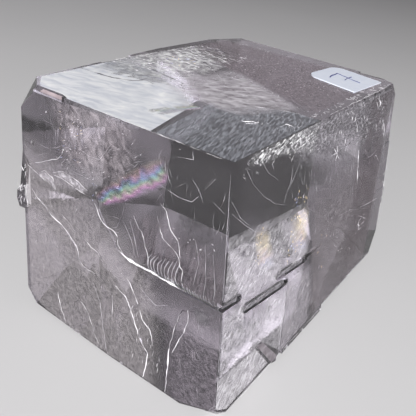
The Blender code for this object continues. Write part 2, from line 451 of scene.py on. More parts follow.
def chip_cutters():
    """All the chips and pits, as one mesh of splinters to take off the block."""
    rng = random.Random(11)
    build = bmesh.new()
    for first, last, count, least, most in CHIP_ROWS:
        first, last = Vector(first), Vector(last)
        for i in range(count):
            share = (i + rng.uniform(0.2, 0.8)) / count
            size = rng.uniform(least, most)
            flake(build, at(*first.lerp(last, share)), size, rng)
    for face, pits in PITS.items():
        for a, b, size in pits:
            flake(build, on_face(face, a, b), size, rng)
    finish = bruise_and_painted_light_material("crushed_edge_chip", "#A9A5AB", "#F4F2F5")
    return place("chip_cutters", mesh_from(build, "chip_cutters"), finish)


def face_family(normal):
    """Which cleavage family a face belongs to, and whether it looks away from the near corner."""
    scores = {name: normal.dot(FACES[name][2]) for name in FACES}
    name = max(scores, key=lambda key: abs(scores[key]))
    return name, scores[name] < 0.0


def write_cleavage_maps(mesh):
    """A UV map in millimetres along the cleavage, and which faces look away from the near corner."""
    layer = mesh.uv_layers.new(name="cleavage")
    hidden = mesh.attributes.new("hidden_face", "FLOAT", "FACE")
    down = {"top": EDGE_S, "left": EDGE_T, "right": EDGE_T}
    across = {"top": EDGE_R, "left": EDGE_S, "right": EDGE_R}
    for polygon in mesh.polygons:
        family, away = face_family(polygon.normal)
        hidden.data[polygon.index].value = 1.0 if away else 0.0
        u_axis = down[family]
        v_axis = (across[family] - u_axis * across[family].dot(u_axis)).normalized()
        for loop in polygon.loop_indices:
            point = mesh.vertices[mesh.loops[loop].vertex_index].co / MM
            layer.data[loop].uv = (point.dot(u_axis) + MAP_OFFSET, point.dot(v_axis) + MAP_OFFSET)


def make_crystal():
    crystal = place("cleaved_block", cad_mesh("crystal", "cleaved_block"), calcite_material())
    take_off(crystal, chip_cutters())
    write_cleavage_maps(crystal.data)
    mount(crystal)


# Lines on the faces: step lines, scratches and cracks

# White step lines: face, radius in millimetres, route as (a, b).
STEP_LINES = [
    ("left", 0.082, [(37.4, 17.3), (36.0, 18.4), (34.4, 19.1), (32.8, 20.3), (31.0, 20.7), (29.7, 21.4),
                     (28.2, 22.5)]),
    ("left", 0.057, [(28.2, 22.5), (27.5, 23.1), (26.9, 24.2), (27.0, 25.5), (26.1, 26.1), (23.5, 26.3)]),
    ("left", 0.041, [(30.4, 19.1), (29.1, 19.6), (27.6, 20.7)]),
    ("left", 0.041, [(25.5, 21.1), (24.2, 21.9), (22.9, 22.2), (22.3, 22.8)]),
    ("left", 0.066, [(23.1, 14.2), (22.5, 15.2), (21.9, 16.4), (20.9, 17.0), (19.3, 17.1), (18.6, 17.9),
                     (18.6, 19.1), (17.6, 20.1), (16.6, 20.6)]),
    ("left", 0.041, [(15.5, 13.0), (14.5, 14.8), (14.0, 14.8), (13.4, 16.8), (12.8, 18.4), (12.7, 19.6)]),
    ("left", 0.049, [(10.7, 9.4), (9.8, 10.1), (9.4, 11.2), (8.9, 12.5), (7.7, 13.7), (7.4, 14.8),
                     (7.2, 16.0)]),
    ("left", 0.049, [(11.2, 11.4), (10.6, 13.5), (10.2, 14.4), (7.8, 15.6), (7.3, 16.3), (7.2, 17.3),
                     (6.7, 17.7), (6.9, 19.4)]),
    ("left", 0.074, [(32.4, 34.0), (32.0, 36.0), (30.8, 39.2)]),
    ("left", 0.035, [(28.0, 32.6), (26.0, 33.4), (24.7, 35.6), (23.9, 37.8), (22.9, 39.2)]),
    ("left", 0.041, [(19.7, 28.3), (20.0, 31.7), (20.3, 36.1)]),
    ("left", 0.066, [(19.3, 26.2), (17.2, 27.0), (16.1, 28.7), (15.3, 30.7), (14.5, 32.8), (13.6, 34.0),
                     (12.8, 34.8)]),
    ("left", 0.14, [(12.8, 34.8), (13.0, 36.9), (13.6, 39.7)]),
    ("left", 0.066, [(18.0, 23.5), (16.4, 24.1), (15.5, 25.6), (14.5, 27.5), (13.7, 29.5), (12.3, 30.3),
                     (11.7, 32.8)]),
    ("left", 0.082, [(5.6, 23.3), (5.5, 25.2), (6.1, 27.0), (7.1, 29.3), (8.1, 31.9)]),
    ("left", 0.041, [(6.6, 23.8), (7.9, 27.8), (8.7, 31.6)]),
    ("left", 0.17, [(8.7, 31.6), (8.8, 33.8), (9.3, 39.7)]),
    ("left", 0.13, [(18.6, 19.9), (17.6, 20.2), (16.6, 20.4)]),
    ("left", 0.32, [(17.4, 20.3), (16.0, 20.5), (12.4, 20.5), (9.0, 20.5), (7.2, 20.7)]),
    ("left", 0.035, [(38.0, 13.3), (34.2, 11.5), (30.7, 9.9), (29.5, 8.3)]),
    ("left", 0.041, [(38.0, 13.3), (35.4, 14.2), (32.0, 15.0)]),
    ("right", 0.09, [(38.5, 8.3), (38.8, 10.0), (39.2, 11.9), (39.8, 14.4), (40.5, 17.4)]),
    ("right", 0.049, [(48.7, 5.0), (49.5, 8.3), (51.9, 11.5)]),
    ("right", 0.057, [(43.4, 0.5), (46.7, 2.5), (45.7, 3.7)]),
    ("right", 0.041, [(39.0, 22.5), (46.6, 24.1), (53.4, 25.2)]),
    ("right", 0.057, [(42.4, 26.2), (45.0, 28.2), (47.0, 28.2), (48.4, 27.9), (43.6, 25.3)]),
    ("top", 0.057, [(0.3, 25.2), (0.2, 29.7), (0.3, 33.4), (0.3, 37.2), (0.3, 41.1), (0.3, 47.0),
                    (0.6, 52.0)]),
    ("top", 0.049, [(2.3, 35.1), (1.3, 35.6), (1.4, 38.1)]),
    ("top", 0.074, [(2.6, 14.4), (2.6, 16.2), (1.3, 16.2), (0.5, 15.0)]),
    ("top", 0.098, [(7.4, 12.2), (6.6, 12.7), (5.6, 13.2), (4.6, 13.4)]),
    ("top", 0.082, [(7.3, 13.2), (6.2, 13.2), (5.0, 13.5)]),
    ("top", 0.074, [(6.6, 11.9), (5.6, 12.8), (4.8, 13.0)]),
    ("right", 0.074, [(15.0, 0.5), (15.9, 1.2), (16.3, 2.6)]),
    ("right", 0.098, [(16.8, 0.5), (17.6, 1.4), (18.1, 2.6)]),
    ("right", 0.066, [(27.6, 6.0), (29.0, 7.4), (30.3, 8.8)]),
    ("right", 0.066, [(30.9, 7.1), (29.2, 7.4), (27.2, 7.4)]),
    ("right", 0.066, [(29.0, 6.2), (29.4, 7.6), (29.0, 8.8)]),
    ("right", 0.098, [(35.1, 3.0), (36.4, 4.6), (36.7, 5.8)]),
    ("right", 0.14, [(44.9, 0.8), (46.0, 2.0), (47.0, 3.4)]),
    ("right", 0.074, [(44.3, 1.8), (45.4, 3.2), (47.6, 2.2)]),
    ("right", 0.09, [(49.4, 6.6), (50.7, 8.6), (51.4, 10.3)]),
    ("right", 0.074, [(47.9, 13.6), (49.0, 14.2), (50.2, 15.4)]),
    ("right", 0.041, [(46.9, 26.2), (44.2, 27.0), (44.8, 29.0), (47.6, 29.2)]),
    ("left", 0.057, [(35.6, 14.0), (33.9, 12.9), (32.2, 13.5), (31.6, 15.2)]),
    ("left", 0.049, [(35.4, 14.2), (33.7, 14.4), (32.4, 14.8), (31.6, 15.4)]),
    ("left", 0.057, [(31.9, 12.5), (29.8, 11.6), (27.0, 11.9), (24.6, 12.8)]),
    ("left", 0.049, [(31.7, 12.9), (29.4, 12.9), (27.2, 13.4), (24.6, 13.6)]),
    ("top", 0.041, [(1.5, 0.1), (9.0, 0.12), (18.0, 0.1), (28.6, 0.12)]),
    ("right", 0.066, [(3.6, 39.4), (9.0, 39.4), (15.0, 39.4)]),
    ("right", 0.057, [(31.6, 38.4), (40.0, 38.4), (52.2, 38.4)]),
    ("right", 0.049, [(18.0, 39.2), (24.0, 39.3), (30.8, 39.3)]),
    ("right", 0.049, [(55.9, 32.8), (56.4, 24.0), (55.9, 14.2)]),
    ("top", 0.066, [(38.0, 31.2), (34.9, 30.3), (32.9, 29.5), (30.6, 28.9), (28.6, 28.7)]),
    ("top", 0.057, [(39.4, 36.4), (36.6, 34.4), (33.8, 33.6), (31.0, 31.4)]),
    ("top", 0.049, [(39.6, 41.6), (36.4, 39.6), (33.8, 38.5), (30.1, 37.1), (26.2, 35.2)]),
    ("top", 0.049, [(35.2, 26.0), (32.0, 25.4), (28.4, 24.0), (25.0, 22.6)]),
]
# Lines with less light in them: hair cracks and long curved scratches.
FAINT_LINES = [
    ("left", 0.04, [(0.1, 22.0), (0.12, 29.0), (0.1, 36.6)]),
    ("left", 0.04, [(0.1, 1.5), (0.12, 9.0), (0.1, 15.0), (0.12, 19.0)]),
    ("top", 0.05, [(31.9, 31.2), (29.0, 30.6), (25.4, 29.0), (21.5, 26.0), (18.5, 24.3)]),
    ("left", 0.03, [(30.2, 8.3), (26.9, 6.5), (24.2, 7.2), (21.9, 7.0), (19.8, 4.2)]),
    ("right", 0.035, [(3.1, 1.8), (4.7, 4.3), (7.3, 6.9), (10.6, 9.4), (13.4, 10.7)]),
    ("right", 0.03, [(14.6, 4.9), (14.5, 7.2), (13.6, 8.8), (13.1, 10.3)]),
    ("right", 0.035, [(16.6, 5.2), (15.0, 7.4), (13.2, 9.4)]),
    ("right", 0.04, [(6.3, 1.5), (8.0, 3.8), (10.8, 5.9)]),
    ("right", 0.05, [(0.6, 6.8), (3.6, 9.6), (6.3, 11.9)]),
    ("right", 0.04, [(0.3, 4.9), (2.4, 8.1), (4.8, 10.3)]),
    ("right", 0.05, [(42.0, 10.7), (44.2, 12.9), (45.7, 13.1), (48.5, 12.5)]),
    ("right", 0.05, [(34.3, 21.2), (38.8, 22.0), (55.1, 28.0)]),
    ("right", 0.06, [(16.5, 25.6), (16.6, 28.8), (16.3, 34.5), (16.2, 39.6)]),
    ("left", 0.06, [(10.7, 6.8), (7.5, 7.3), (5.6, 7.1), (4.6, 5.9)]),
    ("left", 0.05, [(5.6, 4.1), (4.4, 5.4), (3.9, 6.6)]),
    ("left", 0.05, [(8.1, 1.9), (5.6, 1.4), (5.8, 0.4)]),
    ("left", 0.05, [(2.4, 5.9), (0.6, 6.8)]),
    ("left", 0.06, [(4.8, 12.2), (4.1, 15.1), (4.9, 19.0)]),
    ("left", 0.06, [(3.3, 12.2), (2.9, 17.2), (3.2, 20.0)]),
    ("left", 0.06, [(2.0, 13.1), (1.4, 18.0), (1.6, 20.0)]),
    ("left", 0.05, [(17.2, 15.2), (16.0, 17.1), (15.1, 19.6)]),
    ("left", 0.05, [(16.2, 14.2), (15.3, 16.6), (14.6, 19.3)]),
    ("left", 0.05, [(14.2, 24.2), (11.3, 25.6), (9.2, 24.4)]),
    ("left", 0.05, [(24.0, 28.0), (22.5, 31.0), (22.0, 35.0), (21.4, 39.0)]),
    ("top", 0.05, [(32.5, 20.1), (28.5, 19.6), (24.8, 19.1), (22.4, 18.7)]),
    ("top", 0.05, [(40.7, 25.9), (37.3, 27.6), (32.4, 27.6), (26.9, 26.6)]),
    ("top", 0.05, [(37.5, 20.3), (34.3, 21.9), (28.4, 21.9), (21.2, 18.6)]),
    ("top", 0.05, [(12.3, 15.5), (11.4, 17.3), (9.5, 19.0), (6.0, 20.8), (3.5, 21.7)]),
    ("top", 0.05, [(12.2, 0.6), (13.9, 7.9), (15.5, 16.4)]),
]
# Open cracks, with their shade painted dark.
DARK_LINES = [
    ("right", 0.07, [(16.75, 25.9), (16.8, 30.0), (16.6, 34.5), (16.5, 39.2)]),
    ("top", 0.13, [(39.4, 11.3), (35.1, 11.5), (32.3, 11.8), (29.4, 13.2), (28.6, 15.3), (26.4, 14.6)]),
    ("top", 0.28, [(37.0, 40.8), (36.2, 42.0), (34.0, 42.6), (32.4, 42.5)]),
    ("top", 0.11, [(33.5, 20.9), (30.7, 20.2), (26.7, 19.4), (23.5, 18.6)]),
    ("top", 0.12, [(36.4, 33.4), (33.4, 32.0), (30.6, 32.6), (27.6, 31.0)]),
    ("left", 0.22, [(9.0, 20.9), (6.4, 20.9), (3.6, 20.8), (0.4, 20.8)]),
    ("right", 0.09, [(2.6, 13.9), (4.3, 13.7)]),
    ("right", 0.08, [(0.9, 32.8), (2.8, 34.4), (3.5, 34.4)]),
    ("right", 0.10, [(6.6, 21.4), (7.3, 21.7)]),
]
# Fields of short scratches: face, the field's two corners, direction, spread, how many, length, radius.
SCRATCH_FIELDS = [
    ("top", (0.8, 0.8), (12.5, 15.5), (0.15, 1.0), 0.35, 120, (0.8, 3.6), (0.025, 0.05)),
    ("top", (0.8, 12.0), (7.5, 21.0), (0.2, 1.0), 0.5, 50, (0.6, 2.2), (0.025, 0.05)),
    ("top", (1.0, 22.0), (38.0, 52.0), (1.0, 0.5), 1.6, 140, (0.15, 0.5), (0.03, 0.06)),
    ("right", (14.0, 0.6), (54.0, 13.0), (0.12, 1.0), 0.35, 200, (0.4, 2.4), (0.025, 0.05)),
    ("right", (1.0, 0.5), (20.0, 3.4), (1.0, 0.6), 1.2, 70, (0.3, 1.1), (0.03, 0.06)),
    ("right", (1.0, 14.0), (22.0, 31.0), (0.7, 1.0), 0.9, 130, (0.3, 1.5), (0.02, 0.045)),
    ("right", (0.8, 33.0), (11.0, 38.6), (0.7, 1.0), 1.2, 30, (0.3, 1.3), (0.02, 0.045)),
    ("top", (26.0, 20.0), (40.0, 44.0), (1.0, 0.35), 0.9, 150, (0.3, 1.8), (0.03, 0.07)),
    ("right", (20.0, 12.0), (54.0, 30.0), (0.1, 1.0), 0.4, 55, (0.5, 2.5), (0.025, 0.045)),
    ("left", (3.0, 22.0), (36.0, 38.0), (0.0, 1.0), 0.6, 60, (0.6, 2.6), (0.02, 0.035)),
    ("left", (0.5, 1.0), (11.0, 19.5), (0.15, 1.0), 0.7, 55, (0.6, 2.6), (0.02, 0.04)),
    ("left", (12.0, 2.0), (36.0, 20.0), (1.0, 0.5), 0.7, 110, (0.4, 2.2), (0.02, 0.04)),
]
# Fields of tiny bright crumbs and chips, given in the same way.
CRUMB_FIELDS = [
    ("top", (2.0, 22.0), (38.0, 54.0), (1.0, 0.5), 1.6, 150, (0.12, 0.4), (0.035, 0.065)),
    ("top", (2.0, 22.0), (32.0, 46.0), (1.0, 0.5), 1.6, 130, (0.1, 0.16), (0.045, 0.09)),
    ("right", (22.0, 13.0), (54.0, 37.0), (1.0, 0.5), 1.6, 110, (0.1, 0.2), (0.03, 0.07)),
    ("top", (0.4, 14.0), (2.2, 52.0), (0.4, 1.0), 1.2, 70, (0.25, 1.0), (0.035, 0.08)),
    ("top", (27.0, 18.0), (40.4, 44.0), (1.0, 0.3), 0.8, 110, (0.3, 1.5), (0.04, 0.085)),
    ("top", (4.0, 14.0), (9.0, 20.0), (0.5, 1.0), 1.4, 16, (0.2, 0.6), (0.03, 0.06)),
    ("right", (12.0, 0.5), (50.0, 4.4), (0.2, 1.0), 1.0, 90, (0.2, 0.9), (0.035, 0.075)),
    ("right", (26.0, 4.0), (52.0, 8.5), (0.1, 1.0), 0.7, 45, (0.2, 1.0), (0.03, 0.06)),
    ("right", (2.0, 0.5), (20.0, 3.0), (1.0, 0.5), 1.2, 45, (0.2, 0.8), (0.03, 0.06)),
    ("right", (28.0, 17.0), (40.0, 30.0), (1.0, 0.5), 1.4, 18, (0.1, 0.3), (0.04, 0.07)),
    ("right", (3.0, 30.0), (10.0, 34.0), (1.0, 0.5), 1.4, 22, (0.2, 0.9), (0.03, 0.06)),
    ("left", (14.0, 1.5), (35.0, 12.5), (1.0, 0.5), 1.2, 44, (0.12, 0.6), (0.03, 0.065)),
    ("left", (38.6, 13.5), (39.6, 20.5), (0.2, 1.0), 0.8, 16, (0.3, 1.1), (0.04, 0.08)),
    ("left", (39.8, 17.6), (40.9, 21.0), (0.3, 1.0), 1.0, 14, (0.3, 1.0), (0.05, 0.09)),
    ("left", (24.0, 2.0), (30.0, 9.5), (1.0, 0.5), 1.2, 22, (0.1, 0.4), (0.04, 0.09)),
    ("left", (1.5, 11.0), (9.0, 15.0), (1.0, 0.5), 1.5, 12, (0.1, 0.35), (0.05, 0.09)),
    ("left", (10.0, 28.0), (17.0, 37.0), (0.1, 1.0), 0.5, 26, (0.3, 1.2), (0.025, 0.05)),
]
# Fields of painted glints: small flakes painted gold and blue where the light catches, given in the same
# way.
GOLD_FIELDS = [
    ("top", (31.0, 26.0), (36.5, 32.0), (1.0, 0.3), 0.9, 12, (0.3, 1.0), (0.05, 0.09)),
    ("left", (24.0, 2.0), (30.0, 9.5), (1.0, 0.5), 1.2, 8, (0.12, 0.4), (0.05, 0.08)),
    ("right", (15.6, 9.6), (20.6, 22.0), (0.3, 1.0), 1.2, 46, (0.12, 0.5), (0.05, 0.1)),
    ("right", (6.4, 11.6), (9.2, 18.5), (0.3, 1.0), 1.2, 14, (0.12, 0.4), (0.04, 0.08)),
    ("right", (26.0, 20.0), (30.5, 30.0), (0.3, 1.0), 1.2, 8, (0.12, 0.4), (0.04, 0.07)),
]
BLUE_FIELDS = [
    ("top", (32.0, 26.0), (37.0, 32.0), (1.0, 0.3), 0.9, 10, (0.3, 1.0), (0.05, 0.09)),
    ("left", (24.0, 2.0), (31.0, 11.0), (1.0, 0.5), 1.2, 8, (0.12, 0.4), (0.05, 0.08)),
    ("right", (15.6, 10.0), (20.6, 21.0), (0.3, 1.0), 1.2, 20, (0.12, 0.4), (0.05, 0.09)),
    ("left", (20.0, 11.0), (24.0, 14.5), (0.6, 1.0), 1.2, 8, (0.12, 0.4), (0.04, 0.08)),
]


def scratch_field(field, rng):
    """Short, slightly bent scratches scattered over part of a face."""
    face, low, high, direction, spread, count, lengths, radii = field
    heading = math.atan2(direction[1], direction[0])
    lines = []
    for _ in range(count):
        a = rng.uniform(low[0], high[0])
        b = rng.uniform(low[1], high[1])
        angle = heading + rng.gauss(0.0, spread * 0.5)
        length = rng.uniform(*lengths) * 0.5
        bend = rng.uniform(-0.15, 0.15) * length
        step = (math.cos(angle) * length, math.sin(angle) * length)
        ends = [(a - step[0], b - step[1]), (a - step[1] * bend, b + step[0] * bend),
                (a + step[0], b + step[1])]
        if all(low[0] - 0.5 < x < high[0] + 0.5 and low[1] - 0.4 < y < high[1] + 0.5 for x, y in ends):
            lines.append((face, rng.uniform(*radii), ends))
    return lines


def ripple_arcs(rng):
    """Nested ripples of a shell-like break, just above the inner crack on the left face."""
    lines = []
    for i in range(9):
        s = 12.6 - 0.62 * i + rng.uniform(-0.08, 0.08)
        top = 17.7 - 0.12 * i + rng.uniform(-0.3, 0.3)
        arc = [(s, 20.3), (s + 0.35, 19.5), (s + 0.25, 18.6), (s - 0.5, top)]
        lines.append(("left", rng.uniform(0.07, 0.11), arc))
    return lines


def crack_ticks(rng):
    """Short splinters across the near end of the inner crack."""
    lines = []
    for i in range(20):
        s = 9.2 - i * 0.45
        lean = rng.uniform(0.2, 0.6)
        rise = rng.uniform(0.4, 1.0)
        lines.append(("left", rng.uniform(0.04, 0.08), [(s + lean, 20.6 - rise), (s, 20.6 + rise * 0.2)]))
    return lines


def new_tree(name, sockets):
    """A geometry tree with these inputs: the tree, what it is given and its output node."""
    tree = bpy.data.node_groups.new(name, "GeometryNodeTree")
    for title, kind in {"Geometry": "Geometry", **sockets}.items():
        tree.interface.new_socket(title, in_out="INPUT", socket_type="NodeSocket" + kind)
    tree.interface.new_socket("Geometry", in_out="OUTPUT", socket_type="NodeSocketGeometry")
    return tree, add(tree, "NodeGroupInput").outputs, add(tree, "NodeGroupOutput")


def vector_step(tree, operation, *values, **scale):
    """One step of arithmetic with vectors."""
    given = {**dict(enumerate(values)), **scale}
    return add(tree, "ShaderNodeVectorMath", given, operation=operation).outputs[0]


def line_tree():
    """Geometry nodes: a tube along a route, which wavers and swells and thins as it goes."""
    sockets = {"Waver": "Float", "Spacing": "Float", "Thinnest": "Float", "Seed": "Float",
               "Finish": "Material"}
    tree, given, out = new_tree("step_line", sockets)
    width = add(tree, "GeometryNodeInputNamedAttribute", {"Name": "line_radius"}, data_type="FLOAT")
    route = add(tree, "GeometryNodeMeshToCurve", {"Mesh": given["Geometry"]})
    held = {"Curve": route.outputs["Curve"], "Radius": width.outputs["Attribute"]}
    spaced = {"Curve": add(tree, "GeometryNodeSetCurveRadius", held).outputs["Curve"],
              "Length": given["Spacing"]}
    fine = add(tree, "GeometryNodeResampleCurve", spaced, mode="LENGTH")
    # The tube wavers about every 1.1 mm and swells about every 1.7 mm.
    seeded = add(tree, "ShaderNodeCombineXYZ", {"X": given["Seed"], "Y": given["Seed"]})
    where = add(tree, "GeometryNodeInputPosition").outputs[0]
    shifted = vector_step(tree, "ADD", where, seeded.outputs[0])
    wander = noise(tree, shifted, 900.0, 1.0).outputs["Color"]
    centred = vector_step(tree, "SUBTRACT", wander, (0.5, 0.5, 0.5))
    step = vector_step(tree, "SCALE", centred, Scale=given["Waver"])
    moved = add(tree, "GeometryNodeSetPosition", {"Geometry": fine.outputs["Curve"], "Offset": step})
    swell = noise(tree, shifted, 600.0, 1.0).outputs["Fac"]
    share = remap(tree, swell, (0.38, 0.6), (given["Thinnest"], 1.0))
    radius = calculate(tree, "MULTIPLY", add(tree, "GeometryNodeInputRadius").outputs[0], share)
    ring = add(tree, "GeometryNodeCurvePrimitiveCircle", {"Resolution": 5, "Radius": 1.0}, mode="RADIUS")
    swept = {"Curve": moved.outputs["Geometry"], "Profile Curve": ring.outputs["Curve"]}
    tube = add(tree, "GeometryNodeCurveToMesh", {**swept, "Scale": radius, "Fill Caps": True})
    real = add(tree, "GeometryNodeRealizeInstances", {"Geometry": tube.outputs["Mesh"]})
    finished = {"Geometry": real.outputs["Geometry"], "Material": given["Finish"]}
    finish = add(tree, "GeometryNodeSetMaterial", finished)
    tree.links.new(finish.outputs["Geometry"], out.inputs["Geometry"])
    return tree


def run_nodes(obj, tree, values):
    """Runs a geometry tree on the object with these inputs, and keeps the result as a plain mesh."""
    modifier = obj.modifiers.new(tree.name, "NODES")
    modifier.node_group = tree
    for item in tree.interface.items_tree:
        if item.in_out == "INPUT" and item.name in values:
            modifier[item.identifier] = values[item.name]
    keep_result(obj)


def make_lines(name, lines, mat, sink=-0.02, waver=0.25, thinnest=0.35, seed=0.0, tip=0.4, **mounting):
    """Tubes along routes on the faces, part sunk in the face they run on.

    thinnest and tip are shares of a line's radius, where it is thinnest and at its two ends.
    """
    mesh = bpy.data.meshes.new(name)
    points, edges, radii = [], [], []
    for face, radius, route in lines:
        first = len(points)
        points += [on_face(face, a, b, sink) for a, b in route]
        radii += [radius * MM * (tip if i in (0, len(route) - 1) else 1.0) for i in range(len(route))]
        edges += [(first + i, first + i + 1) for i in range(len(route) - 1)]
    mesh.from_pydata(points, edges, [])
    store(mesh, "line_radius", radii)
    obj = place(name, mesh, mat)
    values = {"Waver": waver * MM, "Spacing": 0.35 * MM, "Thinnest": thinnest, "Seed": seed, "Finish": mat}
    run_nodes(obj, LINE_TREE, values)
    mount(obj, **mounting)


# Skins: thin hazy or coloured films on the faces, some of them painted sheen and painted shade

FILM = 0.02  # millimetres: how thick a skin is
LEDGE = 0.7  # millimetres: how far the rosy ledge is cut in along r


def spread_route(route, count):
    """The same route with evenly spaced points."""
    points = [Vector(p) for p in route]
    reach = [0.0]
    for before, after in zip(points, points[1:]):
        reach.append(reach[-1] + (after - before).length)
    result = []
    for i in range(count):
        target = reach[-1] * i / (count - 1)
        leg = next(k for k in range(1, len(reach)) if target <= reach[k] + 1e-9)
        share = (target - reach[leg - 1]) / max(reach[leg] - reach[leg - 1], 1e-9)
        result.append(points[leg - 1].lerp(points[leg], share))
    return result


def make_skin(name, face, upper, lower, mat, fades=(0.0, 1.0, 1.0, 0.0), ends=(2, 2), sink=-0.03,
              columns=16):
    """A thin closed film between two routes on a face.

    fades are its values row by row; ends are how many columns each end takes to fade in.
    """
    rows = len(fades)
    top_route = spread_route(upper, columns)
    low_route = spread_route(lower, columns)
    build = bmesh.new()
    layers = []
    for depth in (sink, sink + FILM):
        grid = []
        for row in range(rows):
            share = row / (rows - 1)
            line = [p.lerp(q, share) for p, q in zip(top_route, low_route)]
            grid.append([build.verts.new(on_face(face, p.x, p.y, depth)) for p in line])
        layers.append(grid)
    for grid in layers:
        for row in range(rows - 1):
            for i in range(columns - 1):
                build.faces.new((grid[row][i], grid[row][i + 1], grid[row + 1][i + 1], grid[row + 1][i]))
    front, rear = layers
    rim = [(0, i) for i in range(columns)] + [(row, columns - 1) for row in range(1, rows)]
    rim += [(rows - 1, i) for i in range(columns - 2, -1, -1)]
    rim += [(row, 0) for row in range(rows - 2, 0, -1)]
    for (r0, c0), (r1, c1) in zip(rim, rim[1:] + rim[:1]):
        build.faces.new((front[r0][c0], front[r1][c1], rear[r1][c1], rear[r0][c0]))
    mesh = mesh_from(build, name)

    fade = mesh.attributes.new("fade", "FLOAT", "POINT")
    across = mesh.attributes.new("across", "FLOAT", "POINT")
    for i in range(len(mesh.vertices)):
        row, column = divmod(i % (rows * columns), columns)
        near, far = column / max(ends[0], 0.01), (columns - 1 - column) / max(ends[1], 0.01)
        near, far = (near if ends[0] else 1.0), (far if ends[1] else 1.0)
        fade.data[i].value = fades[row] * min(1.0, near, far)
        across.data[i].value = row / (rows - 1)
    along, down, _ = FACES[face]
    square = (down - along * down.dot(along)).normalized()
    write_map(mesh, lambda p: ((p - NEAR_CORNER).dot(along), (p - NEAR_CORNER).dot(square)))
    return mount(place(name, mesh, mat))


def make_patch(name, corners, mat):
    """A thin flat film over a small facet, with its corners as (s, r, t)."""
    points = [at(*corner) for corner in corners]
    normal = (points[1] - points[0]).cross(points[2] - points[0]).normalized()
    if normal.dot(points[0]) < 0.0:
        normal.negate()
    count = len(points)
    rings = [[p + normal * lift * MM for p in points] for lift in (0.01, 0.03)]
    sides = [(i, (i + 1) % count, count + (i + 1) % count, count + i) for i in range(count)]
    mesh = bpy.data.meshes.new(name)
    mesh.from_pydata(rings[0] + rings[1], [], [tuple(range(count)), tuple(range(count, 2 * count))] + sides)
    build = bmesh.new()
    build.from_mesh(mesh)
    bmesh.ops.recalc_face_normals(build, faces=build.faces)
    build.to_mesh(mesh)
    build.free()
    store(mesh, "fade", [1.0] * len(mesh.vertices))
    write_map(mesh, lambda p: (p.x, p.z))
    mount(place(name, mesh, mat))


# Where the right face is open along inner cracks: centre line from, to as (r, t), and height.
SLOTS = [((-1.0, 20.0), (3.6, 20.7), 1.0), ((5.4, 23.6), (16.2, 25.3), 1.25),
         ((13.8, 23.0), (22.2, 24.2), 1.15)]


def open_slots(skin):
    """Takes the slots' openings out of a skin that lies over them."""
    build = bmesh.new()
    for first, last, height in SLOTS:
        first, last = Vector(first), Vector(last)
        heading = math.atan2(last.y - first.y, last.x - first.x)
        outline = []
        for end, start in ((last, -90), (first, 90)):
            for step in range(7):
                angle = heading + math.radians(start + 30 * step)
                outline.append(end + Vector((math.cos(angle), math.sin(angle))) * height * 0.5)
        rings = []
        for depth in (-0.5, 0.5):
            rings.append([build.verts.new(on_face("right", p.x, p.y, depth)) for p in outline])
        build.faces.new(rings[0])
        build.faces.new(rings[1])
        for i in range(len(outline)):
            k = (i + 1) % len(outline)
            build.faces.new((rings[0][i], rings[0][k], rings[1][k], rings[1][i]))
    take_off(skin, place("slot_openings", mesh_from(build, "slot_openings"), None))


